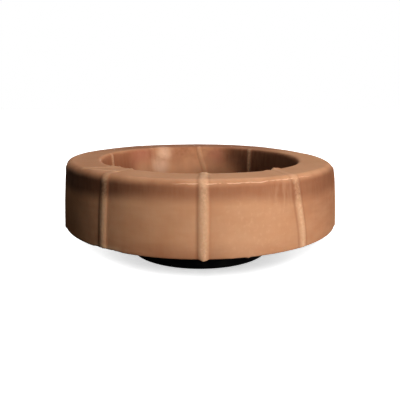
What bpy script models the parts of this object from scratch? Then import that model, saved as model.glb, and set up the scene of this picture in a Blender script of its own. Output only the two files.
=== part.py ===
"""Toilet wax ring with a plastic horn, standing on the horn's rim.

A thick ring of brown wax is cast around a black plastic horn. The horn's flange is held inside the wax,
its funnel runs down from the bore, and its neck comes out below the ring's foot to enter the drain pipe.
Metres, +Z up. The origin is the centre of the horn's rim, on the surface that the part stands on.
"""

import math

import bmesh
import bpy
from mathutils import Matrix, Vector

# The plastic horn, from its rim up. Its wall has one thickness all over, as a moulding has.
HORN_TIP_RADIUS = 0.0361
HORN_LEAN = 0.0012
HORN_DROP = 0.0165
HORN_WALL = 0.0018
HORN_EDGE_ROUND = 0.0005
HORN_BEND_ROUND = 0.0030
FUNNEL_WIDTH = 0.0115
FUNNEL_LIFT = 0.0005
FUNNEL_RISE = 0.0050
FLANGE_BITE = 0.0110

# Holes in the flange, through which the wax runs so that it can't turn or pull off
KEY_COUNT = 10
KEY_RADIUS = 0.0025

# The cast ring. The mould opens at the foot, so the outer wall leans in towards the top,
# and the bore closes in towards the foot.
RING_WIDTH = 0.0190
RING_HEIGHT = 0.03175
WALL_LEAN = 0.0024
BORE_LEAN = 0.0016
SHOULDER_ROUND = 0.0030
LIP_ROUND = 0.0018
FOOT_ROUND = 0.0008

# Beads left by the grooves of the mould, up the wall, over the top and down the bore
RIB_COUNT = 10
RIB_WIDTH = 0.0046
RIB_RISE = 0.0006
RIB_TOP_RISE = 0.00015

# The space between the wax and the plastic that it is cast around
CAST_GAP = 0.0003

# How finely round stretches are divided
RIB_STEPS = 4
BAY_STEPS = 6
HORN_STEPS = 72
SHOULDER_STEPS = 4
SMALL_ROUND_STEPS = 2
BEND_STEPS = 2
KEY_SIDES = 16
SHARP_EDGE = math.radians(32)
MERGE_DISTANCE = 1e-6

# Places that follow from the sizes above. The neck's bend starts above the wax's foot, because a bend
# of less than a right angle starts nearer to its corner than its radius.
NECK_RADIUS = HORN_TIP_RADIUS + HORN_LEAN
MOUTH_RADIUS = NECK_RADIUS + FUNNEL_WIDTH
FLANGE_RADIUS = MOUTH_RADIUS + FLANGE_BITE
KEY_CIRCLE_RADIUS = MOUTH_RADIUS + FLANGE_BITE / 2
FOOT_Z = HORN_DROP
TOP_Z = FOOT_Z + RING_HEIGHT
FUNNEL_Z = FOOT_Z + FUNNEL_LIFT + HORN_BEND_ROUND
FLANGE_Z = FUNNEL_Z + FUNNEL_RISE
FLANGE_TOP_Z = FLANGE_Z + HORN_WALL
LIP_RADIUS = MOUTH_RADIUS + BORE_LEAN
FOOT_RADIUS = LIP_RADIUS + RING_WIDTH
SHOULDER_RADIUS = FOOT_RADIUS - WALL_LEAN

BROWN_WAX = ("brown wax", (0.47, 0.235, 0.125, 1.0), 0.42)
BLACK_PLASTIC = ("black plastic", (0.012, 0.012, 0.013, 1.0), 0.38)


def offset_line(points, distance):
    """The open line of (r, z) points moved sideways to its left by the distance, with mitred corners."""
    sides = [(Vector(b) - Vector(a)).normalized().orthogonal() for a, b in zip(points, points[1:])]
    before = [sides[0], *sides]
    after = [*sides, sides[-1]]
    return [
        Vector(p) + (n + m) * (distance / (1 + n.dot(m)))
        for p, n, m in zip(points, before, after)
    ]


def round_corners(corners):
    """The outline of (r, z) points through the corners, each of which is (point, radius, steps).

    It is closed, or open where its first and last corners have no radius.
    """
    outline = []
    for i, (corner, radius, steps) in enumerate(corners):
        corner = Vector(corner)
        if radius == 0:
            outline.append(corner)
            continue
        back = (Vector(corners[i - 1][0]) - corner).normalized()
        on = (Vector(corners[(i + 1) % len(corners)][0]) - corner).normalized()
        half = back.angle(on) / 2
        centre = corner + (back + on).normalized() * (radius / math.sin(half))
        start = corner + back * (radius / math.tan(half)) - centre
        end = corner + on * (radius / math.tan(half)) - centre
        sweep = start.angle_signed(end)
        for step in range(steps + 1):
            turned = start.copy()
            turned.rotate(Matrix.Rotation(-sweep * step / steps, 2))
            outline.append(centre + turned)
    return outline


def horn_underside():
    """The horn's lower face from its rim to the flange's edge, as an open line of (r, z) points."""
    bend = (HORN_BEND_ROUND, BEND_STEPS)
    return round_corners(
        [
            ((HORN_TIP_RADIUS, 0.0), 0, 0),
            ((NECK_RADIUS, FUNNEL_Z), *bend),
            ((MOUTH_RADIUS, FLANGE_Z), *bend),
            ((FLANGE_RADIUS, FLANGE_Z), 0, 0),
        ]
    )


def horn_section():
    """The horn's closed section: the underside, then the same line one wall further in."""
    underside = horn_underside()
    inside = offset_line(underside, HORN_WALL)
    inner_slope = (inside[1].x - inside[0].x) / (inside[1].y - inside[0].y)
    inside[0] = Vector((inside[0].x - inside[0].y * inner_slope, 0.0))
    ends = (underside[0], underside[-1], inside[0], inside[-1])
    corners = []
    for point in [*underside, *reversed(inside)]:
        if point in ends:
            corners.append((point, HORN_EDGE_ROUND, SMALL_ROUND_STEPS))
        else:
            corners.append((point, 0, 0))
    return round_corners(corners)


def ring_section(rise, top_rise):
    """The wax ring's closed section, with its walls moved out by rise and its top up by top_rise.

    With both at 0 it is the section between two ribs, and otherwise the section along a rib's crest.
    """
    bed = offset_line(horn_underside(), -CAST_GAP)
    neck_share = (FOOT_Z - bed[0].y) / (bed[1].y - bed[0].y)
    neck_at_foot = bed[0].lerp(bed[1], neck_share)
    slot_low = FLANGE_Z - CAST_GAP
    slot_high = FLANGE_TOP_Z + CAST_GAP
    slot_radius = FLANGE_RADIUS + CAST_GAP
    corners = [
        (neck_at_foot, 0, 0),
        ((FOOT_RADIUS + rise, FOOT_Z), FOOT_ROUND, SMALL_ROUND_STEPS),
        ((SHOULDER_RADIUS + rise, TOP_Z + top_rise), SHOULDER_ROUND, SHOULDER_STEPS),
        ((LIP_RADIUS - rise, TOP_Z + top_rise), LIP_ROUND, SMALL_ROUND_STEPS),
        ((MOUTH_RADIUS - rise, slot_high), 0, 0),
        ((slot_radius, slot_high), 0, 0),
        ((slot_radius, slot_low), 0, 0),
        *((point, 0, 0) for point in reversed(bed[1:-1])),
    ]
    return round_corners(corners)


def section_loop(bm, section, azimuth):
    """Draws a closed (r, z) section in the upright plane at the azimuth, and returns its geometry."""
    place = Matrix.Rotation(azimuth, 3, "Z")
    verts = [bm.verts.new(place @ Vector((point.x, 0.0, point.y))) for point in section]
    edges = [bm.edges.new((a, b)) for a, b in zip(verts, verts[1:] + verts[:1])]
    return verts, edges


def add_object(name, bm):
    """Makes a smooth-shaded object from the bmesh."""
    bmesh.ops.recalc_face_normals(bm, faces=bm.faces)
    mesh = bpy.data.meshes.new(name)
    bm.to_mesh(mesh)
    bm.free()
    mesh.shade_smooth()
    mesh.set_sharp_from_angle(angle=SHARP_EDGE)
    thing = bpy.data.objects.new(name, mesh)
    bpy.context.scene.collection.objects.link(thing)
    return thing


def set_finish(thing, finish):
    """Gives the object a material of its own from a (title, colour, roughness) finish."""
    title, colour, roughness = finish
    material = bpy.data.materials.new(title)
    material.use_nodes = True
    shader = material.node_tree.nodes["Principled BSDF"]
    shader.inputs["Base Color"].default_value = colour
    shader.inputs["Roughness"].default_value = roughness
    thing.data.materials.append(material)


def rib_crown(share):
    """How much of its full rise a rib has at a share, from -1 to 1, of its half width."""
    return math.sqrt(max(0.0, 1 - share * share))


def raise_ribs(bm, station, plain, crest):
    """Gives every column of points that lies in a rib its even width and its rounded rise."""
    bay = math.tau / RIB_COUNT
    rib_half_angle = math.asin(RIB_WIDTH / 2 / FOOT_RADIUS)
    for vert in bm.verts:
        azimuth = math.atan2(vert.co.y, vert.co.x) + math.pi / 2
        rib_azimuth = round(azimuth / bay) * bay
        share = (azimuth - rib_azimuth) / rib_half_angle
        if abs(share) > 1 + MERGE_DISTANCE:
            continue
        low, high = plain[vert[station]], crest[vert[station]]
        radius, height = low.lerp(high, rib_crown(share))
        side = share * RIB_WIDTH / 2
        point = Vector((side, -math.sqrt(radius * radius - side * side), height))
        vert.co = Matrix.Rotation(rib_azimuth, 3, "Z") @ point


def build_wax_ring():
    """The ribbed ring: one section spun round in narrow steps at each rib and wide steps between them."""
    plain = ring_section(0.0, 0.0)
    crest = ring_section(RIB_RISE, RIB_TOP_RISE)
    bay = math.tau / RIB_COUNT
    rib_angle = 2 * math.asin(RIB_WIDTH / 2 / FOOT_RADIUS)
    bm = bmesh.new()
    station = bm.verts.layers.int.new("station")
    verts, edges = section_loop(bm, plain, -math.pi / 2 - rib_angle / 2)
    for i, vert in enumerate(verts):
        vert[station] = i
    column = verts + edges
    for _ in range(RIB_COUNT):
        for angle, steps in ((rib_angle, RIB_STEPS), (bay - rib_angle, BAY_STEPS)):
            spun = bmesh.ops.spin(bm, geom=column, cent=(0, 0, 0), axis=(0, 0, 1), angle=angle, steps=steps)
            column = spun["geom_last"]
    bmesh.ops.remove_doubles(bm, verts=bm.verts, dist=MERGE_DISTANCE)
    raise_ribs(bm, station, plain, crest)
    ring = add_object("wax_ring", bm)
    set_finish(ring, BROWN_WAX)
    return ring


def build_horn():
    """The horn: its section spun once round."""
    bm = bmesh.new()
    verts, edges = section_loop(bm, horn_section(), 0.0)
    bmesh.ops.spin(
        bm,
        geom=verts + edges,
        cent=(0, 0, 0),
        axis=(0, 0, 1),
        angle=math.tau,
        steps=HORN_STEPS,
        use_merge=True,
    )
    bmesh.ops.remove_doubles(bm, verts=bm.verts, dist=MERGE_DISTANCE)
    horn = add_object("plastic_horn", bm)
    set_finish(horn, BLACK_PLASTIC)
    return horn


def add_keys(target, operation, radius):
    """Cuts holes of the radius through the flange, or joins posts of the radius to the wax around it."""
    bm = bmesh.new()
    length = 2 * HORN_WALL + 2 * CAST_GAP
    middle = (FLANGE_Z + FLANGE_TOP_Z) / 2
    for i in range(KEY_COUNT):
        turn = Matrix.Rotation(math.tau * (i + 0.5) / KEY_COUNT, 4, "Z")
        place = turn @ Matrix.Translation((0.0, -KEY_CIRCLE_RADIUS, middle))
        bmesh.ops.create_cone(
            bm,
            cap_ends=True,
            segments=KEY_SIDES,
            radius1=radius,
            radius2=radius,
            depth=length,
            matrix=place,
        )
    keys = add_object(target.name + "_keys", bm)
    keys.hide_render = True
    keys.display_type = "WIRE"
    modifier = target.modifiers.new("keys", "BOOLEAN")
    modifier.operation = operation
    modifier.object = keys


def main():
    for old in list(bpy.data.objects):
        bpy.data.objects.remove(old)
    ring = build_wax_ring()
    horn = build_horn()
    add_keys(horn, "DIFFERENCE", KEY_RADIUS)
    add_keys(ring, "UNION", KEY_RADIUS - CAST_GAP)


main()
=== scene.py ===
# %% [markdown]
# # A toilet wax ring with a plastic horn
#
# The real thing seals a toilet to its drain. Brown plumber's wax is poured into a ribbed mould around a
# black plastic horn, and the soft ring that comes out is a little slumped, smeared and crumbly, because
# wax gives under every hand that packs it. In this lesson we build it as a maker would: draw the section,
# spin it, raise the ribs, and then push the even shape about until it looks poured rather than machined.
#
# The imported model is loaded first. It is the frame that every piece has to fit.

# %% Load the frame
import math
from collections import namedtuple
from types import SimpleNamespace

import bmesh
import bpy
from mathutils import Matrix, Vector, noise


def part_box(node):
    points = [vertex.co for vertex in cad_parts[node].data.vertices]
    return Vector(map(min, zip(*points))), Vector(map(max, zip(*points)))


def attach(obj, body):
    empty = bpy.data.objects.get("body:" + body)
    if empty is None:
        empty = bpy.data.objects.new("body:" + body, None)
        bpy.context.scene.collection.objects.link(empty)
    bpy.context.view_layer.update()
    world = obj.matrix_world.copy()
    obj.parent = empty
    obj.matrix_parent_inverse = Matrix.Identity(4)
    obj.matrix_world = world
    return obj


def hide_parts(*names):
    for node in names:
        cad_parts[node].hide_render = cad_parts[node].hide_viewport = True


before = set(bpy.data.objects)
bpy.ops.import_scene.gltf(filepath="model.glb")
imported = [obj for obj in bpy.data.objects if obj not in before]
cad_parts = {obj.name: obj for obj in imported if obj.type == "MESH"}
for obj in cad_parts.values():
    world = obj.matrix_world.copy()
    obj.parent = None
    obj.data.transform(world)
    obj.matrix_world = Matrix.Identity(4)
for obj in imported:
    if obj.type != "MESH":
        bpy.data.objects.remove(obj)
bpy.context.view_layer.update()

wax_low, wax_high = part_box("wax_ring")
horn_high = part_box("plastic_horn")[1]


def in_mm(length):
    """A length in metres as rounded millimetres, to print."""
    return round(length * 1000, 2)


print("The wax stands from", in_mm(wax_low.z), "to", in_mm(wax_high.z), "mm")

# %% [markdown]
# ## The camera
#
# The photographer stood close, a little above the ring, so the front looks tall and the opening is a thin
# slot. We set the camera by real measures: how far it is from the ring's axis, how high it is, and how
# steeply it looks down. A small turn puts the front rib just right of the middle.

# %% Camera
CAMERA_DISTANCE = 0.2489
CAMERA_HEIGHT = 0.0812
CAMERA_PITCH = math.radians(12.66)
CAMERA_AZIMUTH = math.radians(-1.4)
CAMERA_LENS = 43.14
SENSOR_WIDTH = 36.0
CLIP_START = 0.01


def place_camera():
    """Makes the scene's camera, looking across the ring and down at it."""
    data = bpy.data.cameras.new("camera")
    data.sensor_width = SENSOR_WIDTH
    data.lens = CAMERA_LENS
    data.clip_start = CLIP_START
    camera = bpy.data.objects.new("camera", data)
    across = math.sin(CAMERA_AZIMUTH) * CAMERA_DISTANCE
    back = -math.cos(CAMERA_AZIMUTH) * CAMERA_DISTANCE
    camera.location = (across, back, CAMERA_HEIGHT)
    camera.rotation_euler = (math.pi / 2 - CAMERA_PITCH, 0.0, CAMERA_AZIMUTH)
    bpy.context.scene.collection.objects.link(camera)
    bpy.context.scene.camera = camera
    return camera


print("Camera at", [round(c, 4) for c in place_camera().location])

# %% [markdown]
# ## The sizes of the ring
#
# A turned or poured thing is best thought of as a section: distances from the axis and heights. The foot,
# the top and the reach of the ribs come from the frame. The rest are the sizes of the mould: how much its
# walls lean so that the wax drops out, and how round its corners are.

# %% Sizes of the ring, in metres
RIB_COUNT = 10
RIB_WIDTH = 0.0048
RIB_RISE = 0.00045
RIB_TOP_RISE = 0.00020
FRAME_RIB_RISE = 0.0006
FRAME_RIB_TOP_RISE = 0.00015

WALL_LEAN = 0.0024
RING_WIDTH = 0.0190
BORE_LEAN = 0.0016
FOOT_ROUND = 0.0008
SHOULDER_ROUND = 0.0030
LIP_ROUND = 0.0018

foot_z = wax_low.z
top_z = wax_high.z - FRAME_RIB_TOP_RISE
foot_radius = -wax_low.y - FRAME_RIB_RISE
shoulder_radius = foot_radius - WALL_LEAN
lip_radius = foot_radius - RING_WIDTH
bore_radius = lip_radius - BORE_LEAN
bay_angle = math.tau / RIB_COUNT
rib_angle = RIB_WIDTH / foot_radius
print("The wax is", in_mm(foot_radius * 2), "mm across its foot and", in_mm(lip_radius * 2), "mm at its lip")

# %% [markdown]
# ## The sizes of the horn
#
# The horn is one thin moulding of even thickness: a neck that goes into the pipe, a short funnel, and a
# flange that the wax is poured around. The wax keeps a hair's breadth of space to the plastic, so that no
# two surfaces share a place.

# %% Sizes of the horn, in metres
HORN_TIP_RADIUS = 0.0361
HORN_LEAN = 0.0012
HORN_WALL = 0.0018
HORN_EDGE_ROUND = 0.0005
HORN_BEND = 0.0019
FUNNEL_LIFT = 0.0035
KEY_COUNT = 10
KEY_RADIUS = 0.0025
KEY_BITE = 0.0010
KEY_SIDES = 24
CAST_GAP = 0.0003

flange_radius = horn_high.x
flange_top_z = horn_high.z
flange_z = flange_top_z - HORN_WALL
funnel_z = foot_z + FUNNEL_LIFT
neck_radius = HORN_TIP_RADIUS + HORN_LEAN
mouth_radius = bore_radius
key_circle = (mouth_radius + flange_radius) / 2
funnel_slope = math.atan2(flange_z - funnel_z, mouth_radius - neck_radius)
slot_low_z = flange_z - CAST_GAP
slot_high_z = flange_top_z + CAST_GAP
slot_radius = flange_radius + CAST_GAP
print("The flange is", in_mm(flange_radius * 2), "mm across, inside the wax")

# %% [markdown]
# ## Drawing a section
#
# A section is only a handful of corners. Each corner says how far the rounding starts from it, and in how
# many steps it turns. Vertex bevels do the rounding for us, and then each straight run is cut into short
# pieces, because the wax will be pushed about later and needs points to push.

# %% A helper that draws a rounded section
Corner = namedtuple("Corner", "radius height rounding steps", defaults=(0.0, 0))


def draw_section(corners, step_at):
    """A bmesh with a closed, rounded outline in the XZ plane, in runs no longer than step_at(place)."""
    bm = bmesh.new()
    points = [bm.verts.new((corner.radius, 0.0, corner.height)) for corner in corners]
    for start, end in zip(points, points[1:] + points[:1]):
        bm.edges.new((start, end))
    for point, corner in zip(points, corners):
        if corner.steps:
            bmesh.ops.bevel(
                bm,
                geom=[point],
                offset=corner.rounding,
                segments=corner.steps,
                profile=0.5,
                affect="VERTICES",
                material=-1,
            )
    for edge in list(bm.edges):
        middle = (edge.verts[0].co + edge.verts[1].co) / 2
        cuts = math.ceil(edge.calc_length() / step_at(middle)) - 1
        if cuts > 0:
            bmesh.ops.subdivide_edges(bm, edges=[edge], cuts=cuts)
    return bm


# %% [markdown]
# ## Spinning the ring
#
# One section goes all the way round. The ribs are narrow and need many columns of points, while the plain
# bays between them need few, so we spin a tenth of the ring in two turns, a slow one across the rib and a
# quick one across the bay, and set nine copies of it round the axis. The first column starts half a rib
# before the front, which is -Y.

# %% The ring's section and its spin
SKIN_STEP = 0.00066
HIDDEN_STEP = 0.0045
RIB_COLUMNS = 24
BAY_COLUMNS = 36
TINY = 1e-5


def polar(point):
    """The azimuth from the front rib, growing towards +X, and the distance from the axis."""
    return math.atan2(point.x, -point.y), math.hypot(point.x, point.y)


def at(azimuth, radius, height):
    """The point at an azimuth, a distance from the axis and a height."""
    return Vector((radius * math.sin(azimuth), -radius * math.cos(azimuth), height))


def meets_plastic(point):
    """True where the wax lies against the horn, which is hidden and stays as the frame has it."""
    return polar(point)[1] < slot_radius + TINY and point.z < slot_high_z + TINY


def on_foot(point):
    """True on the ring's flat foot."""
    return point.z < foot_z + TINY


def skin_of(bm):
    """The points of the wax that don't lie against the horn."""
    return [vert for vert in bm.verts if not meets_plastic(vert.co)]


def ring_step(point):
    """How long a run of the ring's section may be: long where it is hidden, short on the skin."""
    return HIDDEN_STEP if meets_plastic(point) or on_foot(point) else SKIN_STEP


def spin_ring():
    """The plain ring without ribs, in columns that are close together where the ribs will be."""
    corners = [
        Corner(neck_radius + CAST_GAP, foot_z),
        Corner(foot_radius, foot_z, FOOT_ROUND, 4),
        Corner(shoulder_radius, top_z, SHOULDER_ROUND, 9),
        Corner(lip_radius, top_z, LIP_ROUND, 5),
        Corner(bore_radius, slot_high_z),
        Corner(slot_radius, slot_high_z),
        Corner(slot_radius, slot_low_z),
        Corner(mouth_radius, slot_low_z, HORN_BEND, 2),
        Corner(neck_radius + CAST_GAP, funnel_z, HORN_BEND, 2),
    ]
    bm = draw_section(corners, ring_step)
    start = Matrix.Rotation(-math.pi / 2 - rib_angle / 2, 3, "Z")
    bmesh.ops.rotate(bm, verts=bm.verts, cent=(0, 0, 0), matrix=start)
    column = list(bm.verts) + list(bm.edges)
    for angle, steps in ((rib_angle, RIB_COLUMNS), (bay_angle - rib_angle, BAY_COLUMNS)):
        turned = bmesh.ops.spin(bm, geom=column, cent=(0, 0, 0), axis=(0, 0, 1), angle=angle, steps=steps)
        column = turned["geom_last"]
    bmesh.ops.spin(
        bm,
        geom=list(bm.verts) + list(bm.edges) + list(bm.faces),
        cent=(0, 0, 0),
        axis=(0, 0, 1),
        angle=math.tau - bay_angle,
        steps=RIB_COUNT - 1,
        use_duplicate=True,
    )
    bmesh.ops.remove_doubles(bm, verts=bm.verts, dist=TINY / 10)
    bmesh.ops.recalc_face_normals(bm, faces=bm.faces)
    return bm


ring = spin_ring()
print("The plain ring has", len(ring.faces), "faces")

# %% [markdown]
# ## Raising the ribs
#
# Grooves in the mould leave a bead up the wall, over the top and down the bore. Each point near a rib is
# pushed out by how far across the rib it lies. Sideways the push is full, and upwards it is slight, since
# the top of the mould was skimmed flat. How much of a rib a point is gets stored on the mesh, because the
# finish of the ribs differs: they rub against the packing and turn pale and grainy.
# The creases beside the ribs are marked as well, for painted shade.

# %% Ribs
CREASE_WIDTH = 0.34
BORE_RIB = 0.8
TOP_RIB = 0.15
CLEAR_TOP_RIBS = {0: 1.0, 1: 0.5, 9: 0.5}
FAINT_BORE_RIBS = {3: 0.10, 4: 0.70, 5: 0.48, 6: 0.25}


def rib_share(azimuth):
    """How far across its rib an azimuth lies, from -1 to 1, and more than that in a bay."""
    nearest = round(azimuth / bay_angle) * bay_angle
    return (azimuth - nearest) / (rib_angle / 2)


def crown(share):
    """The height of a rib's rounded section, from 0 at its sides to 1 along its crest."""
    return max(0.0, 1 - share * share)


def rib_left(azimuth, outwards, upwards):
    """How much of its rib is left at a place: all of it on the wall, less in the bore, least on the top."""
    rib = round(azimuth / bay_angle) % RIB_COUNT
    skimmed = upwards * upwards * (1 - CLEAR_TOP_RIBS.get(rib, TOP_RIB))
    worn = max(0.0, -outwards) * (1 - FAINT_BORE_RIBS.get(rib, BORE_RIB))
    return 1 - max(skimmed, worn)


def raise_ribs(bm):
    """Pushes the ribs out of the plain ring, and marks them and the creases beside them for painted shade."""
    rib_mark = bm.verts.layers.float.new("rib")
    crease_shade_mark = bm.verts.layers.float.new("crease")
    bm.normal_update()
    for vert in skin_of(bm):
        azimuth, radius = polar(vert.co)
        share = rib_share(azimuth)
        outwards = vert.normal.x * math.sin(azimuth) - vert.normal.y * math.cos(azimuth)
        upwards = max(0.0, vert.normal.z)
        left = rib_left(azimuth, outwards, upwards)
        height = crown(share) * left
        radius += height * RIB_RISE * outwards
        vert.co = at(azimuth, radius, vert.co.z + height * RIB_TOP_RISE * upwards)
        vert[rib_mark] = height
        vert[crease_shade_mark] = left * max(0.0, 1 - abs(abs(share) - 1) / CREASE_WIDTH)


raise_ribs(ring)
print("Each rib is", in_mm(RIB_WIDTH), "mm wide and", in_mm(RIB_RISE), "mm proud")

# %% [markdown]
# ## Letting the ribs wander
#
# The ribs of a warm casting are dragged about as it leaves the mould. The one right of the front leans by
# nearly four millimetres, and the bore's ribs sit up to six degrees round from the wall's. We give each rib
# four small turns in degrees, at the foot, the shoulder, the lip and the bottom of the bore, and turn every
# other point with its nearest ribs, so that nothing is torn.

# %% Wandering ribs
RIB_TURNS = {
    0: (-0.30, -0.25, 0.4, 0.2),
    1: (1.8, -1.5, 1.3, 0.8),
    2: (0.6, 0.2, 0.0, 0.0),
    3: (-0.8, -0.4, 0.0, 0.0),
    4: (0.4, 0.0, -1.6, -2.6),
    5: (-0.5, 0.3, -0.8, -6.0),
    6: (0.6, 0.2, -2.0, -3.2),
    7: (0.3, -0.2, 1.0, 1.6),
    8: (-0.4, -0.8, 0.4, 0.8),
    9: (-1.9, -1.3, -2.0, -1.0),
}

shoulder_inside = shoulder_radius - SHOULDER_ROUND
lip_outside = lip_radius + LIP_ROUND


def smooth(share):
    """A share from 0 to 1 that starts and ends gently."""
    share = min(1.0, max(0.0, share))
    return share * share * (3 - 2 * share)


def lift_of(height):
    """How far up the wall a height is, from 0 at the foot to 1 at the top."""
    return (height - foot_z) / (top_z - foot_z)


def along_section(point):
    """0 at the foot, 1 at the shoulder, 2 at the lip and 3 at the bottom of the bore."""
    radius = polar(point)[1]
    if on_foot(point):
        return 0.0
    if radius > shoulder_inside:
        return lift_of(point.z)
    if radius > lip_outside:
        return 1 + (shoulder_inside - radius) / (shoulder_inside - lip_outside)
    return 2 + (top_z - point.z) / (top_z - slot_high_z)


def rib_turn(rib, station):
    """How far a rib has wandered round at a station of along_section, in radians."""
    turns = RIB_TURNS[rib % RIB_COUNT]
    first = min(2, max(0, int(station)))
    share = smooth(station - first)
    return math.radians(turns[first] + (turns[first + 1] - turns[first]) * share)


def let_ribs_wander(bm):
    """Turns each point about the axis with the ribs on either side of it."""
    for vert in skin_of(bm):
        azimuth, radius = polar(vert.co)
        station = along_section(vert.co)
        rib = math.floor(azimuth / bay_angle)
        share = smooth(azimuth / bay_angle - rib)
        turn = rib_turn(rib, station) * (1 - share) + rib_turn(rib + 1, station) * share
        vert.co = at(azimuth + turn, radius, vert.co.z)


let_ribs_wander(ring)
print("The most that a rib wanders is", max(abs(t) for turns in RIB_TURNS.values() for t in turns), "degrees")

# %% [markdown]
# ## Slumping
#
# Wax is never quite flat or round. The top dips a little towards one side, the shoulder has sagged there
# and stands sharper across from it, and the wall bulges by a third of a millimetre halfway up. The whole
# skin waves by a tenth of a millimetre or two. Noise along the surface's own direction makes the waves, in
# a broad size for the casting and a small one for the handling.

# %% Slump and waves
TOP_DIP = math.radians(0.30)
WALL_BULGE = 0.00035
Sag = namedtuple("Sag", "azimuth depth reach")
SAGS = (Sag(math.radians(104), 0.0016, 0.009), Sag(math.radians(-88), -0.0008, 0.006))
SAG_FOCUS = 6
Wave = namedtuple("Wave", "size height")
WAVES = (Wave(0.026, 0.00016), Wave(0.009, 0.00007), Wave(0.0035, 0.000025))
WAVES_FADE_IN = 6


def dipped(place, lift):
    """A place after the top's dip, which is full at a lift of 1."""
    return place - Vector((0.0, 0.0, math.tan(TOP_DIP) * place.x * lift))


def waves(point):
    """How far the skin stands out at a point."""
    return sum(noise.noise(point / wave.size) * wave.height for wave in WAVES)


def bulged(point):
    """How far the wall stands out at a point, most halfway up."""
    lift = lift_of(point.z)
    on_wall = polar(point)[1] > shoulder_inside
    return 4 * lift * (1 - lift) * WALL_BULGE if on_wall else 0.0


def sagged(point):
    """How far a point of the shoulder has sunk, most at the middle of a sag."""
    azimuth, radius = polar(point)
    away = math.hypot(radius - shoulder_radius, point.z - top_z)
    depth = 0.0
    for sag in SAGS:
        near = max(0.0, 1 - away / sag.reach) ** 2
        depth += sag.depth * near * max(0.0, math.cos(azimuth - sag.azimuth)) ** SAG_FOCUS
    return depth


def slump(bm):
    """Dips the top, sags the shoulder, bulges the wall and waves the skin, and leaves the foot flat."""
    bm.normal_update()
    for vert in skin_of(bm):
        if on_foot(vert.co):
            continue
        lift = lift_of(vert.co.z)
        out = waves(vert.co) * smooth(lift * WAVES_FADE_IN) + bulged(vert.co) - sagged(vert.co)
        vert.co = dipped(vert.co + vert.normal * out, lift)


slump(ring)
print("The top dips", in_mm(math.tan(TOP_DIP) * foot_radius * 2), "mm from side to side")

# %% [markdown]
# ## Burrs and smears
#
# Where a rib ends, the wax has been squeezed or torn a little: a lip below the front rib, a curl on the
# edge of the bore. Each is a soft push of the skin around one place. A smear along the lip or the foot and
# a scrape on the top are the same push, measured from a line in place of a point.

# %% Burrs
RAGGED_SHARE = 0.6
RAGGED_SIZE = 0.0012
Burr = namedtuple("Burr", "start end reach push")


def edge_place(azimuth, radius, height):
    """A place on the ring from an azimuth in degrees, with the top's dip taken into account."""
    return dipped(at(math.radians(azimuth), radius, height), lift_of(height))


def burr(azimuth, radius, height, reach, out=0.0, up=0.0, to=None):
    """A push at a place, or along a line to another (azimuth, radius, height)."""
    start = edge_place(azimuth, radius, height)
    end = edge_place(*to) if to else start
    push = at(math.radians(azimuth), out, up)
    return Burr(start, end, reach, push)


BURRS = [
    burr(-0.2, foot_radius, foot_z + 0.0006, 0.0026, out=0.0004, up=-0.0007),
    burr(0.3, lip_radius + 0.0004, top_z, 0.0030, up=0.0004, to=(0.9, lip_radius + 0.0036, top_z)),
    burr(39.6, lip_radius + 0.0006, top_z, 0.0032, out=-0.0007, up=0.0008),
    burr(33.0, lip_radius + 0.0006, top_z, 0.0022, up=0.0003),
    burr(-53.5, 0.0655, top_z, 0.0014, up=0.0003, to=(-46.0, lip_radius + 0.0008, top_z)),
    burr(-52.0, lip_radius + 0.0006, top_z, 0.0017, up=0.0005, to=(-36.5, lip_radius + 0.0006, top_z)),
    burr(-48.0, 0.0636, top_z, 0.0017, up=0.0004, to=(-37.5, 0.0602, top_z)),
    burr(-41.0, foot_radius, foot_z, 0.0034, up=0.0003, to=(-31.5, foot_radius, foot_z)),
    burr(9.0, foot_radius, foot_z + 0.0003, 0.0014, out=0.0003),
    burr(14.8, foot_radius, foot_z + 0.0003, 0.0012, out=0.0003, up=-0.0003),
]


def distance_to(point, start, end):
    """The distance from a point to the straight line between two places."""
    run = end - start
    if run.length < TINY:
        return (point - start).length
    share = min(1.0, max(0.0, (point - start).dot(run) / run.length_squared))
    return (point - start - run * share).length


def push_burrs(bm):
    """Pushes the skin around each burr, most in the middle and ragged, and marks where it was scraped."""
    scrape_mark = bm.verts.layers.float.new("scrape")
    for vert in skin_of(bm):
        place = vert.co.copy()
        for one in BURRS:
            away = distance_to(place, one.start, one.end) / one.reach
            if away < 1:
                ragged = 1 + RAGGED_SHARE * noise.noise(place / RAGGED_SIZE)
                share = (1 - away * away) ** 2
                vert.co += one.push * share * ragged
                if one.start != one.end:
                    vert[scrape_mark] = max(vert[scrape_mark], share)


push_burrs(ring)
print("Pushed", len(BURRS), "burrs and smears")

# %% [markdown]
# ## Finishing the ring
#
# The points are where we want them, so the bmesh becomes an object. The wax has run through ten holes in
# the horn's flange, which keys the two together, so ten posts join the wax above the flange to the wax
# below it. The ring stands for the plain ring of the frame and moves with the same body.

# %% The ring as an object
SHARP_EDGE = math.radians(40)


def new_object(name, bm):
    """An object from the bmesh, which is used up."""
    mesh = bpy.data.meshes.new(name)
    bm.to_mesh(mesh)
    bm.free()
    made = bpy.data.objects.new(name, mesh)
    bpy.context.scene.collection.objects.link(made)
    return made


def key_posts(radius, low, high):
    """Ten upright posts between two heights, one for each hole of the flange."""
    bm = bmesh.new()
    for key in range(KEY_COUNT):
        place = at(math.tau * (key + 0.5) / KEY_COUNT, key_circle, (low + high) / 2)
        bmesh.ops.create_cone(
            bm,
            cap_ends=True,
            segments=KEY_SIDES,
            radius1=radius,
            radius2=radius,
            depth=high - low,
            matrix=Matrix.Translation(place),
        )
    return new_object("key posts", bm)


def key_piece(piece, operation, posts):
    """Cuts the posts from a piece or joins them to it, and takes them away."""
    keys = piece.modifiers.new("keys", "BOOLEAN")
    keys.operation = operation
    keys.object = posts
    view = bpy.context.evaluated_depsgraph_get()
    piece.data = bpy.data.meshes.new_from_object(piece.evaluated_get(view))
    piece.modifiers.clear()
    bpy.data.objects.remove(posts)


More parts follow.
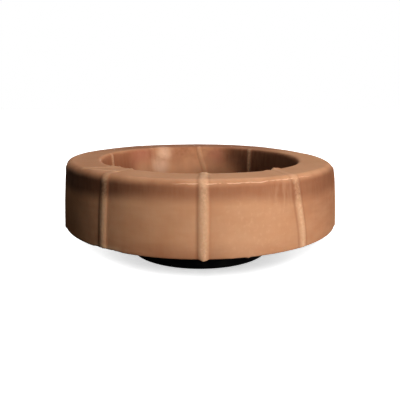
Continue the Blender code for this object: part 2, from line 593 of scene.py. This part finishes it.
def finish_piece(piece, node):
    """Shades a piece smooth and has it stand for a node of the frame."""
    piece.data.shade_smooth()
    piece.data.set_sharp_from_angle(angle=SHARP_EDGE)
    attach(piece, "root")
    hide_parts(node)


cast_ring = new_object("cast_wax_ring", ring)
key_piece(cast_ring, "UNION", key_posts(KEY_RADIUS - CAST_GAP, slot_low_z - KEY_BITE, slot_high_z + KEY_BITE))
finish_piece(cast_ring, "wax_ring")
print(cast_ring.name, "has", len(cast_ring.data.polygons), "faces")

# %% [markdown]
# ## The horn
#
# The same two steps make the horn: draw its section, spin it. Its wall is drawn as the outer line and the
# same line one wall further in. The flange's holes are cut with posts like those of the wax, a little wider.

# %% The horn's section and its spin
HORN_COLUMNS = 160
HORN_STEP = 0.0016


def horn_corners():
    """The closed section of the horn, from the rim's outer edge round to its inner edge."""
    bend_in = math.tan(funnel_slope / 2) * HORN_WALL
    steep_in = math.tan((math.pi / 2 - funnel_slope) / 2) * HORN_WALL
    return [
        Corner(HORN_TIP_RADIUS, 0.0, HORN_EDGE_ROUND, 3),
        Corner(neck_radius, funnel_z, HORN_BEND, 5),
        Corner(mouth_radius, flange_z, HORN_BEND / 2, 4),
        Corner(flange_radius, flange_z, HORN_EDGE_ROUND, 3),
        Corner(flange_radius, flange_top_z, HORN_EDGE_ROUND, 3),
        Corner(mouth_radius - bend_in, flange_top_z, HORN_BEND / 2, 4),
        Corner(neck_radius - HORN_WALL, funnel_z + steep_in, HORN_BEND, 5),
        Corner(HORN_TIP_RADIUS - HORN_WALL, 0.0, HORN_EDGE_ROUND, 3),
    ]


def spin_horn():
    """The horn without its holes."""
    bm = draw_section(horn_corners(), lambda _: HORN_STEP)
    bmesh.ops.spin(
        bm,
        geom=list(bm.verts) + list(bm.edges),
        cent=(0, 0, 0),
        axis=(0, 0, 1),
        angle=math.tau,
        steps=HORN_COLUMNS,
        use_merge=True,
    )
    bmesh.ops.remove_doubles(bm, verts=bm.verts, dist=TINY / 10)
    bmesh.ops.recalc_face_normals(bm, faces=bm.faces)
    return bm


horn = new_object("moulded_horn", spin_horn())
key_piece(horn, "DIFFERENCE", key_posts(KEY_RADIUS, flange_z - KEY_BITE, flange_top_z + KEY_BITE))
finish_piece(horn, "plastic_horn")
print(horn.name, "has", len(horn.data.polygons), "faces")

# %% [markdown]
# ## Finishes
#
# Both finishes share two effects, so each effect is a node group. One spreads soft patches between two
# values, and the other gives the height of a grainy, wavy skin. They read the object's own coordinates in
# metres, so a size in them is a real size. A few small functions place the nodes: each takes values or
# sockets and hands back the socket with the result.

# %% Helpers for shader nodes
def feed(tree, sockets, inputs):
    """Sets each named socket to a value, or links another socket to it."""
    for name, value in inputs.items():
        if isinstance(value, bpy.types.NodeSocket):
            tree.links.new(value, sockets[name])
        else:
            sockets[name].default_value = value


def add_node(tree, kind, inputs=None, **settings):
    """Adds a node, sets its properties and feeds its inputs."""
    made = tree.nodes.new(kind)
    for name, value in settings.items():
        setattr(made, name, value)
    feed(tree, made.inputs, inputs or {})
    return made


def calculate(tree, operation, first, second=0.0):
    """A socket with the result of one sum."""
    return add_node(tree, "ShaderNodeMath", {0: first, 1: second}, operation=operation).outputs[0]


def product(tree, *values):
    """A socket with the product of several values."""
    total = values[0]
    for value in values[1:]:
        total = calculate(tree, "MULTIPLY", total, value)
    return total


def ramp(tree, value, start, full):
    """A socket that goes smoothly from 0 where value is at start to 1 where it is at full."""
    inputs = {"Value": value, "From Min": start, "From Max": full}
    node = add_node(tree, "ShaderNodeMapRange", inputs, interpolation_type="SMOOTHSTEP")
    return node.outputs["Result"]


def between(tree, share, low, high):
    """A socket that is low where share is 0 and high where it is 1."""
    inputs = {"Value": share, "To Min": low, "To Max": high}
    return add_node(tree, "ShaderNodeMapRange", inputs).outputs["Result"]


def mix_colour(tree, share, first, second):
    """A socket with the first colour where share is 0 and the second where it is 1."""
    mixed = add_node(tree, "ShaderNodeMix", data_type="RGBA")
    in_use = {socket.name: socket for socket in mixed.inputs if socket.enabled}
    feed(tree, in_use, {"Factor": share, "A": first, "B": second})
    return [socket for socket in mixed.outputs if socket.enabled][0]


def add_noise(tree, place, size, detail, roughness):
    """A socket with noise whose lumps are of a size in metres."""
    scale = calculate(tree, "DIVIDE", 1.0, size)
    inputs = {"Vector": place, "Scale": scale, "Detail": detail, "Roughness": roughness}
    return add_node(tree, "ShaderNodeTexNoise", inputs).outputs["Fac"]


def new_group(name, inputs, output):
    """An empty shader group with float inputs, a Vector input and one float output."""
    group = bpy.data.node_groups.new(name, "ShaderNodeTree")
    group.interface.new_socket("Vector", in_out="INPUT", socket_type="NodeSocketVector")
    for title, value in inputs.items():
        socket = group.interface.new_socket(title, in_out="INPUT", socket_type="NodeSocketFloat")
        socket.default_value = value
    group.interface.new_socket(output, in_out="OUTPUT", socket_type="NodeSocketFloat")
    start = add_node(group, "NodeGroupInput")
    end = add_node(group, "NodeGroupOutput")
    return group, start.outputs, end.inputs[output]


def put_group(tree, group, inputs):
    """Places a node group and returns its one output."""
    return add_node(tree, "ShaderNodeGroup", inputs, node_tree=group).outputs[0]


# %% Group for soft patches
Pattern = namedtuple("Pattern", "size edge level across along", defaults=(1.0, 1.0))


def make_patches():
    """Noise of a given size, turned into soft patches between 0 and 1."""
    group, given, result = new_group("soft patches", {"Size": 0.01, "Edge": 0.2, "Level": 0.5}, "Patch")
    cloud = add_noise(group, given["Vector"], given["Size"], detail=3.0, roughness=0.55)
    low = calculate(group, "SUBTRACT", given["Level"], given["Edge"])
    high = calculate(group, "ADD", given["Level"], given["Edge"])
    group.links.new(ramp(group, cloud, low, high), result)
    return group


patches = make_patches()


def spread(tree, place, pattern):
    """Soft patches of one pattern. Below 1, across draws them out round the ring and along up it."""
    scale = (pattern.across, pattern.across, pattern.along)
    scaled = add_node(tree, "ShaderNodeMapping", {"Vector": place, "Scale": scale}).outputs[0]
    inputs = {"Vector": scaled, "Size": pattern.size, "Edge": pattern.edge, "Level": pattern.level}
    return put_group(tree, patches, inputs)


print("Made the group", patches.name)


# %% Group for a grainy skin
def make_grain():
    """The height in metres of fine grain on top of small waves."""
    sizes = {"Grain Size": 0.0006, "Grain Height": 0.00002, "Wave Size": 0.0040, "Wave Height": 0.00003}
    group, given, result = new_group("grainy skin", sizes, "Height")
    heights = []
    for part in ("Grain", "Wave"):
        cloud = add_noise(group, given["Vector"], given[part + " Size"], detail=2.0, roughness=0.5)
        heights.append(product(group, cloud, given[part + " Height"]))
    group.links.new(calculate(group, "ADD", *heights), result)
    return group


grain = make_grain()
print("Made the group", grain.name)


# %% A material and its shader
def new_material(name):
    """A new material, with its node tree and the inputs of its shader."""
    material = bpy.data.materials.new(name)
    material.use_nodes = True
    tree = material.node_tree
    return material, tree, tree.nodes["Principled BSDF"].inputs


def bumps(tree, height, strength):
    """The normals of a skin with a height in metres."""
    inputs = {"Height": height, "Strength": strength, "Distance": 1.0}
    return add_node(tree, "ShaderNodeBump", inputs).outputs["Normal"]


# %% [markdown]
# ## Brown wax
# Painted shade also lies on the right of the wall, over the back, on the left of the top and along the foot.
# The band under the shoulder deepens into painted shade towards the left and the right.
# The line round the shoulder is a painted highlight, and the pale smears in the bore carry one as well.
# The rib creases and the right of the bore have painted shade, and the back of the bore has painted light.
#
# The wax is a warm brown that light sinks into a little. Where it has been rubbed or has bloomed it is
# paler and duller, as on the ribs and most of the wall. Just under the shoulder and down in the bore it is
# still as the mould left it: deep red-brown and smooth.
#
# Each mark on the wax is a socket that is 1 where the mark is full and 0 where there is none. A mark with
# a pair of numbers fades between two places: the first is where it starts, and the second is where it is
# full. A pair for a wave, a strength or crumbs is two values that a pattern or a fade goes between. A blot
# fades round a place. The colours are then laid over each other, each where its mark says.

# %% Colours of the wax
WAX_PALE = (0.700, 0.350, 0.185, 1.0)
WAX_MIDDLE = (0.640, 0.295, 0.145, 1.0)
WAX_RED = (0.360, 0.128, 0.060, 1.0)
# The dark used for painted shade, at the band's sides and on the right of the bore.
WAX_DARK = (0.130, 0.042, 0.018, 1.0)
WAX_BORE = (0.400, 0.140, 0.068, 1.0)
WAX_FLUSH = (0.530, 0.185, 0.108, 1.0)
# The darkest painted shade, down the right of the bore.
WAX_PAINTED_SHADE = (0.092, 0.031, 0.014, 1.0)
WAX_PAINTED_LIGHT = (0.840, 0.400, 0.210, 1.0)
WAX_RUBBED = (0.860, 0.510, 0.300, 1.0)
# The pale of painted highlights, on the shoulder and on the bore's smears.
WAX_PAINTED_HIGHLIGHT = (0.930, 0.560, 0.360, 1.0)

# %% Patterns and marks of the wax
WAX_PATTERNS = {
    "clouds": Pattern(0.0190, 0.22, 0.50),
    "mottle": Pattern(0.0075, 0.20, 0.50),
    "streaks": Pattern(0.0017, 0.20, 0.52, along=0.14),
    "smears": Pattern(0.0030, 0.25, 0.55, across=0.25),
    "crumbs": Pattern(0.0012, 0.20, 0.52),
    "specks": Pattern(0.0016, 0.10, 0.62),
}

# Painted shade on the left and the right of the ring.
PAINTED_SHADE_LEFT = (0.000, -0.050)
PAINTED_SHADE_RIGHT = (0.030, 0.058)
PAINTED_SHADE_RIGHT_SHARE = 0.45
ASIDE_RIGHT = (0.012, 0.038)
BELOW_TOP = (top_z - 0.0005, top_z - 0.0035)
ON_TOP = (top_z - 0.0035, top_z - 0.0005)
# Painted shade on the left of the top.
PAINTED_SHADE_TOP_LEFT = (-0.022, -0.060)
# Painted shade over the back of the ring.
PAINTED_SHADE_BACK = (0.015, 0.048)

BAND_UPPER = (top_z + 0.0004, top_z - 0.0038)
BAND_LOWER = (top_z - 0.0110, top_z - 0.0048)
BAND_WALL = (shoulder_inside - 0.0020, shoulder_inside + 0.0010)
BAND_WAVE = (-0.0006, 0.0006)
HANG_LEFT = (-0.028, -0.053)
HANG_DEPTH = 0.0026
SINK_LEFT = (-0.058, -0.067)
SINK_DEPTH = 0.0024
BAND_STRENGTH = (0.76, 0.96)

# Painted highlight: a thin line round the shoulder.
EDGE_HEIGHT = top_z - 0.0015
EDGE_WIDTH = 0.0003
EDGE_WALL = (shoulder_inside + 0.0005, shoulder_inside + 0.0012)
EDGE_WAVE = (-0.0003, 0.0003)
EDGE_BREAKS = (0.25, 0.60)
EDGE_LEFT = (-0.014, -0.006)
EDGE_RIGHT = (0.048, 0.038)

# Painted shade along the foot, darker towards the bottom.
FOOT_RISE = (foot_z + 0.0090, foot_z)
FOOT_LEFT = (-0.055, -0.015)
FOOT_MIDDLE = (0.016, 0.000)
FOOT_STRENGTH = (0.35, 1.00)

IN_BORE = (lip_radius + 0.0010, lip_radius - 0.0004)
# Painted light, stronger deeper down the bore.
PAINTED_LIGHT_DOWN = (top_z - 0.0005, top_z - 0.0140)
RED_BORE_LEFT = (-0.029, -0.042)
SMEAR_AND_HIGHLIGHT_MOTTLE = (-1.00, 0.60)

# Painted shade down the right of the bore.
BORE_SHADE_RIGHT = (0.0135, 0.0270)
BORE_SHADE_BACK = (-0.042, -0.024)
BORE_SHADE_LEVEL = top_z - 0.0060
BORE_SHADE_LEAN = 0.5
BORE_SHADE_EASED_RIGHT = (0.036, 0.050)
BORE_SHADE_EASED_TOP = (top_z - 0.0035, top_z - 0.0010)
BORE_SHADE_STRENGTH = (1.00, 0.60)

RIB_EXPONENT = 1.5
RIB_CRUMBS = (0.54, 0.99)
RIB_UNDER_BAND = 0.38

Blot = namedtuple("Blot", "azimuth radius height reach")
# A paler patch on the wall right of the front, with pale specks in it.
PALE_PATCH = Blot(18, foot_radius, 0.031, 0.027)
SCRAPED = Blot(28, foot_radius, 0.041, 0.010)
# Painted shade on the right of the wall, below the top.
PAINTED_SHADE_SIDE = Blot(60, foot_radius, 0.044, 0.050)
# Painted light down the back of the bore.
BORE_PAINTED_LIGHT = Blot(-176, bore_radius, top_z - 0.0140, 0.050)
BORE_TAN = Blot(-137, bore_radius, top_z - 0.0125, 0.0090)
# Painted shade: a darker spot on the right of the bore.
BORE_SHADE_SPOT = Blot(155.5, bore_radius, top_z - 0.0055, 0.0100)
BORE_REDS = (Blot(-137, bore_radius, top_z - 0.0050, 0.0130), Blot(167, bore_radius, top_z - 0.0060, 0.0085))
# Pale smears in the bore, with a painted highlight on them.
BORE_SMEARS_AND_HIGHLIGHTS = (Blot(-155, lip_radius, top_z - 0.0040, 0.0078), Blot(-152, lip_radius, top_z - 0.0105, 0.0090))


def blot(tree, place, *centres):
    """1 at the centre of each blot, fading to 0 at its reach."""
    marks = []
    for one in centres:
        centre = at(math.radians(one.azimuth), one.radius, one.height)
        apart = add_node(tree, "ShaderNodeVectorMath", {0: place, 1: centre}, operation="DISTANCE")
        marks.append(ramp(tree, apart.outputs["Value"], one.reach, 0.0))
    total = marks[0]
    for mark in marks[1:]:
        total = calculate(tree, "MAXIMUM", total, mark)
    return total


def read_wax(tree):
    """All that the marks are made from: where a point is, the mesh's own marks and the patterns."""
    place = add_node(tree, "ShaderNodeTexCoord").outputs["Object"]
    split = add_node(tree, "ShaderNodeSeparateXYZ", {0: place}).outputs
    flat = add_node(tree, "ShaderNodeCombineXYZ", {"X": split["X"], "Y": split["Y"]}).outputs[0]
    radius = add_node(tree, "ShaderNodeVectorMath", {0: flat}, operation="LENGTH").outputs["Value"]
    wax = SimpleNamespace(place=place, x=split["X"], y=split["Y"], z=split["Z"], radius=radius)
    wax.bore = ramp(tree, radius, *IN_BORE)
    for name in ("rib", "crease", "scrape"):
        setattr(wax, name, add_node(tree, "ShaderNodeAttribute", attribute_name=name).outputs["Fac"])
    for name, pattern in WAX_PATTERNS.items():
        setattr(wax, name, spread(tree, place, pattern))
    return wax


def wax_band(tree, wax, right):
    """The dark band under the shoulder, with a soft, wavy lower edge that hangs lower at the sides."""
    height = calculate(tree, "ADD", wax.z, between(tree, wax.clouds, *BAND_WAVE))
    side = calculate(tree, "MAXIMUM", ramp(tree, wax.x, *HANG_LEFT), right)
    hanging = calculate(tree, "ADD", height, product(tree, side, HANG_DEPTH))
    sinking = calculate(tree, "ADD", height, product(tree, ramp(tree, wax.x, *SINK_LEFT), SINK_DEPTH))
    lower = ramp(tree, hanging, *BAND_LOWER)
    upper = ramp(tree, sinking, *BAND_UPPER)
    return product(tree, lower, upper, ramp(tree, wax.radius, *BAND_WALL))


def painted_shoulder_highlight(tree, wax):
    """The thin, broken painted highlight round the front and right of the shoulder."""
    line = calculate(tree, "ADD", wax.z, between(tree, wax.mottle, *EDGE_WAVE))
    off = calculate(tree, "ABSOLUTE", calculate(tree, "SUBTRACT", line, EDGE_HEIGHT))
    near = ramp(tree, off, EDGE_WIDTH, 0.0)
    wall = ramp(tree, wax.radius, *EDGE_WALL)
    breaks = ramp(tree, wax.mottle, *EDGE_BREAKS)
    return product(tree, near, wall, breaks, ramp(tree, wax.x, *EDGE_LEFT), ramp(tree, wax.x, *EDGE_RIGHT))


def painted_foot_shade(tree, wax):
    """The painted shade along the foot, which is stronger left of the middle than right of it."""
    strength = between(tree, ramp(tree, wax.x, *FOOT_MIDDLE), *FOOT_STRENGTH)
    return product(tree, ramp(tree, wax.z, *FOOT_RISE), ramp(tree, wax.x, *FOOT_LEFT), strength)


def bore_painted_shade(tree, wax):
    """Painted shade down the right of the bore. It leans a little, and is lighter under the lip at its far
    right.
    """
    lean = product(tree, calculate(tree, "SUBTRACT", wax.z, BORE_SHADE_LEVEL), BORE_SHADE_LEAN)
    across = ramp(tree, calculate(tree, "ADD", wax.x, lean), *BORE_SHADE_RIGHT)
    # The painted shade is made lighter under the lip at its far right.
    rubbed = product(tree, ramp(tree, wax.x, *BORE_SHADE_EASED_RIGHT), ramp(tree, wax.z, *BORE_SHADE_EASED_TOP))
    strength = between(tree, rubbed, *BORE_SHADE_STRENGTH)
    return product(tree, wax.bore, across, strength, ramp(tree, wax.y, *BORE_SHADE_BACK))


def rib_wear(tree, wax, band, aside):
    """The crumbly wear along the ribs, less of it where they cross the band aside of the front."""
    crest = calculate(tree, "POWER", wax.rib, RIB_EXPONENT)
    wear = product(tree, crest, between(tree, wax.crumbs, *RIB_CRUMBS))
    spared = product(tree, wax.rib, band, aside, RIB_UNDER_BAND)
    return calculate(tree, "SUBTRACT", wear, spared)


def lay_over(tree, colour, layers):
    """A colour with layers over it in turn: the mark that says where, how strong it is, and the colour."""
    for mark, strength, layer in layers:
        colour = mix_colour(tree, product(tree, mark, strength), colour, layer)
    return colour


def wall_colour(tree, wax, painted_shade_left, band):
    """The colour of the wall and the top, with painted shade on the left, the right, the back and the foot.
    """
    pale_patch = blot(tree, wax.place, PALE_PATCH)
    # Painted shade on the right of the wall.
    painted_shade_side = product(tree, blot(tree, wax.place, PAINTED_SHADE_SIDE), ramp(tree, wax.z, *BELOW_TOP))
    # Painted shade on the left of the top.
    painted_shade_top = product(tree, ramp(tree, wax.z, *ON_TOP), ramp(tree, wax.x, *PAINTED_SHADE_TOP_LEFT))
    painted_shade_right = product(tree, ramp(tree, wax.x, *PAINTED_SHADE_RIGHT), PAINTED_SHADE_RIGHT_SHARE)
    # Painted shade: the band goes from red to dark towards the left and the right.
    deep = mix_colour(tree, calculate(tree, "MAXIMUM", painted_shade_left, painted_shade_right), WAX_RED, WAX_DARK)
    layers = (
        (wax.clouds, 1.00, WAX_PALE),
        (painted_shade_side, 0.84, WAX_RED),
        # Painted shade over the back.
        (ramp(tree, wax.y, *PAINTED_SHADE_BACK), 0.95, WAX_RED),
        (painted_shade_top, 0.42, WAX_RED),
        (painted_foot_shade(tree, wax), 0.72, WAX_RED),
        (pale_patch, 0.16, WAX_RUBBED),
        (wax.smears, 0.16, WAX_RUBBED),
        (product(tree, wax.specks, pale_patch), 0.30, WAX_RUBBED),
        # The band, made stronger towards the left as painted shade.
        (product(tree, band, between(tree, painted_shade_left, *BAND_STRENGTH)), 1.00, deep),
    )
    return lay_over(tree, WAX_MIDDLE, layers)


def bore_colour(tree, wax):
    """The colour down the bore."""
    # Painted light down the back of the bore, stronger deeper down.
    clear = product(tree, blot(tree, wax.place, BORE_PAINTED_LIGHT), ramp(tree, wax.z, *PAINTED_LIGHT_DOWN))
    layers = (
        (wax.mottle, 1.00, WAX_MIDDLE),
        (clear, 1.00, WAX_PAINTED_LIGHT),
        (wax.clouds, 0.30, WAX_RED),
        (product(tree, wax.bore, ramp(tree, wax.x, *RED_BORE_LEFT)), 1.00, WAX_RED),
        (blot(tree, wax.place, *BORE_REDS), 0.75, WAX_FLUSH),
        (blot(tree, wax.place, BORE_TAN), 0.70, WAX_PALE),
    )
    return lay_over(tree, WAX_BORE, layers)


def wax_colour(tree, wax, smear_and_highlight):
    """The colour of the whole skin: the wall, the bore, and the marks that lie over both."""
    # Painted shade on the left of the ring.
    painted_shade_left = ramp(tree, wax.x, *PAINTED_SHADE_LEFT)
    right = ramp(tree, wax.x, *ASIDE_RIGHT)
    aside = calculate(tree, "MAXIMUM", painted_shade_left, right)
    band = wax_band(tree, wax, right)
    layers = (
        (wax.bore, 1.00, bore_colour(tree, wax)),
        # Painted shade: a darker spot on the right of the bore.
        (product(tree, wax.bore, blot(tree, wax.place, BORE_SHADE_SPOT)), 0.60, WAX_DARK),
        # Painted shade down the right of the bore.
        (bore_painted_shade(tree, wax), 0.90, WAX_PAINTED_SHADE),
        # Pale smears in the bore, partly a painted highlight.
        (smear_and_highlight, 0.95, WAX_PAINTED_HIGHLIGHT),
        (wax.streaks, 0.05, WAX_RUBBED),
        (product(tree, wax.streaks, blot(tree, wax.place, SCRAPED)), 0.30, WAX_RUBBED),
        # Painted shade in the creases beside the ribs.
        (wax.crease, 0.32, WAX_RED),
        # Painted highlight along the shoulder.
        (painted_shoulder_highlight(tree, wax), 1.00, WAX_PAINTED_HIGHLIGHT),
        (wax.scrape, 0.60, WAX_RUBBED),
        (rib_wear(tree, wax, band, aside), 1.00, WAX_RUBBED),
    )
    return lay_over(tree, wall_colour(tree, wax, painted_shade_left, band), layers)


# %% Brown wax
WAX_ROUGHNESS = (0.50, 0.34)
BORE_GLOSS = 0.5
WAX_BUMPS = 0.6
WAX_SKIN = {"Grain Size": 0.0007, "Grain Height": 0.00002, "Wave Size": 0.0035, "Wave Height": 0.00005}
RIB_GRIT = 0.00007
WAX_DEPTH = {
    "IOR": 1.44,
    "Subsurface Weight": 0.15,
    "Subsurface Radius": (1.0, 0.42, 0.22),
    "Subsurface Scale": 0.0030,
}


def make_wax():
    """The brown wax."""
    material, tree, shader = new_material("brown wax")
    wax = read_wax(tree)
    # Pale smears in the bore, partly a painted highlight, which are also glossier.
    smear_and_highlight = product(tree, blot(tree, wax.place, *BORE_SMEARS_AND_HIGHLIGHTS), ramp(tree, wax.mottle, *SMEAR_AND_HIGHLIGHT_MOTTLE))
    glossy = calculate(tree, "MAXIMUM", product(tree, wax.bore, BORE_GLOSS), smear_and_highlight)
    skin = put_group(tree, grain, {"Vector": wax.place, **WAX_SKIN})
    height = calculate(tree, "ADD", skin, product(tree, wax.crumbs, wax.rib, RIB_GRIT))
    inputs = {
        "Base Color": wax_colour(tree, wax, smear_and_highlight),
        "Roughness": between(tree, glossy, *WAX_ROUGHNESS),
        "Normal": bumps(tree, height, WAX_BUMPS),
    }
    feed(tree, shader, inputs)
    feed(tree, shader, WAX_DEPTH)
    return material


cast_ring.data.materials.append(make_wax())
print("The ring's finish is", cast_ring.data.materials[0].name)

# %% [markdown]
# ## Black plastic
#
# The horn is moulded polyethylene: black right through, with a soft sheen and a very fine grain.

# %% Black plastic
PLASTIC_BLACK = (0.0016, 0.0016, 0.0020, 1.0)
PLASTIC_WORN = (0.0050, 0.0048, 0.0045, 1.0)
PLASTIC_ROUGHNESS = (0.36, 0.50)
PLASTIC_GLOSS = 0.2
PLASTIC_BUMPS = 0.5
PLASTIC_SKIN = {"Grain Size": 0.0004, "Grain Height": 0.00001, "Wave Size": 0.0050, "Wave Height": 0.00002}
SCUFFS = Pattern(0.0060, 0.15, 0.56, along=4.0)


def make_plastic():
    """The black plastic."""
    material, tree, shader = new_material("black plastic")
    place = add_node(tree, "ShaderNodeTexCoord").outputs["Object"]
    scuffs = spread(tree, place, SCUFFS)
    skin = put_group(tree, grain, {"Vector": place, **PLASTIC_SKIN})
    inputs = {
        "Base Color": mix_colour(tree, scuffs, PLASTIC_BLACK, PLASTIC_WORN),
        "Roughness": between(tree, scuffs, *PLASTIC_ROUGHNESS),
        "Normal": bumps(tree, skin, PLASTIC_BUMPS),
        "Specular IOR Level": PLASTIC_GLOSS,
    }
    feed(tree, shader, inputs)
    return material


horn.data.materials.append(make_plastic())
print("The horn's finish is", horn.data.materials[0].name)

# %% [markdown]
# ## Floor and background
#
# The ring stands on a white floor that runs into a white background. The floor is for the camera alone: it
# adds a plain glow to its own lit colour, which leaves a faint shadow, and throws no light back on the
# ring. The dim room around gives the wax's shadows their warmth.

# %% Floor and background
FLOOR_SIZE = 4.0
FLOOR_GAP = 0.0002
FLOOR_ROUGHNESS = 0.9
FLOOR_GLOW = 0.55
WORLD_LIGHT = (0.027, 0.021, 0.013, 1.0)
WORLD_SHEEN = (0.150, 0.135, 0.110, 1.0)
WHITE = (1.0, 1.0, 1.0, 1.0)
BLACK = (0.0, 0.0, 0.0, 1.0)


def make_floor_white():
    """The floor's white, which only the camera sees. To every other ray the floor is black."""
    material, tree, shader = new_material("pale floor")
    camera_ray = add_node(tree, "ShaderNodeLightPath").outputs["Is Camera Ray"]
    inputs = {
        "Base Color": mix_colour(tree, camera_ray, BLACK, WHITE),
        "Roughness": FLOOR_ROUGHNESS,
        "Specular IOR Level": 0.0,
        "Emission Color": WHITE,
        "Emission Strength": product(tree, camera_ray, FLOOR_GLOW),
    }
    feed(tree, shader, inputs)
    return material


def lay_floor():
    """The floor, a hair's breadth below the horn's rim."""
    bm = bmesh.new()
    bmesh.ops.create_grid(bm, x_segments=2, y_segments=2, size=FLOOR_SIZE / 2)
    floor = new_object("floor", bm)
    floor.location.z = -FLOOR_GAP
    floor.data.materials.append(make_floor_white())
    return floor


def light_world():
    """A background that the camera sees as white, and the ring as a dim room."""
    world = bpy.data.worlds.new("studio")
    world.use_nodes = True
    tree = world.node_tree
    path = add_node(tree, "ShaderNodeLightPath").outputs
    around = mix_colour(tree, path["Is Glossy Ray"], WORLD_LIGHT, WORLD_SHEEN)
    seen = mix_colour(tree, path["Is Camera Ray"], around, WHITE)
    feed(tree, tree.nodes["Background"].inputs, {"Color": seen})
    bpy.context.scene.world = world


floor = lay_floor()
light_world()
print("The floor is", FLOOR_SIZE, "m wide")

# %% [markdown]
# ## Lights
#
# The light comes from the right. A broad key lamp low beside the camera lights the right of the wall and
# the left of the bore, and lets the left side fall into a deep brown, which painted shade on the left of the
# wax deepens. A slim lamp high in front opens up the top, and a broad one behind keeps the back from going
# black. These are soft light alone, which leaves no bright spot in the wax. A slim lamp overhead shines
# along the shoulder, over a thin painted highlight line there.
#
# These four light the ring and the horn. Three hazy suns light only the floor, from the front, the left and
# the right. Any two of them turn it white, and so does the front one alone, so a shadow is left only close
# round the horn, where more of them are hidden.

# %% Lights
def lights_only(name, pieces):
    """A collection of the pieces that a lamp is to light."""
    lit = bpy.data.collections.new(name)
    for piece in pieces:
        lit.objects.link(piece)
    return lit


lit_ring = lights_only("lit ring", (cast_ring, horn))
lit_floor = lights_only("lit floor", (floor,))


def add_lamp(name, azimuth, elevation, distance, size, power, soft=True):
    """An area lamp at a place seen from the ring: azimuth from the front, elevation above the floor."""
    data = bpy.data.lights.new(name, "AREA")
    data.shape = "RECTANGLE"
    data.size, data.size_y = size
    data.energy = power
    lamp = bpy.data.objects.new(name, data)
    middle = Vector((0.0, 0.0, (foot_z + top_z) / 2))
    across = distance * math.cos(math.radians(elevation))
    up = distance * math.sin(math.radians(elevation))
    lamp.location = middle + at(math.radians(azimuth), across, up)
    lamp.rotation_euler = (middle - lamp.location).to_track_quat("-Z", "Y").to_euler()
    lamp.visible_glossy = not soft
    lamp.light_linking.receiver_collection = lit_ring
    bpy.context.scene.collection.objects.link(lamp)


def add_sun(name, azimuth, elevation, strength, haze):
    """A sun for the floor alone. The haze is how wide it looks in the sky, in degrees."""
    data = bpy.data.lights.new(name, "SUN")
    data.energy = strength
    data.angle = math.radians(haze)
    sun = bpy.data.objects.new(name, data)
    towards = at(math.radians(azimuth), math.cos(math.radians(elevation)), math.sin(math.radians(elevation)))
    sun.location = towards
    sun.rotation_euler = (-towards).to_track_quat("-Z", "Y").to_euler()
    sun.light_linking.receiver_collection = lit_floor
    bpy.context.scene.collection.objects.link(sun)


add_lamp("key lamp", azimuth=39, elevation=10, distance=0.75, size=(0.36, 0.20), power=4.75)
add_lamp("top lamp", azimuth=10, elevation=78, distance=0.60, size=(0.40, 0.10), power=1.35)
add_lamp("back lamp", azimuth=176, elevation=8, distance=0.75, size=(0.36, 0.20), power=3.0)
add_lamp("line lamp", azimuth=180, elevation=62, distance=0.60, size=(0.40, 0.05), power=0.45, soft=False)
add_sun("front sun", azimuth=-2, elevation=33, strength=2.6, haze=14)
add_sun("left sun", azimuth=-60, elevation=30, strength=2.2, haze=32)
add_sun("right sun", azimuth=60, elevation=30, strength=2.2, haze=32)

# %% [markdown]
# ## The last look
#
# The view transform is plain, so a colour renders as it is written.

# %% Finish
bpy.context.scene.view_settings.view_transform = "Standard"
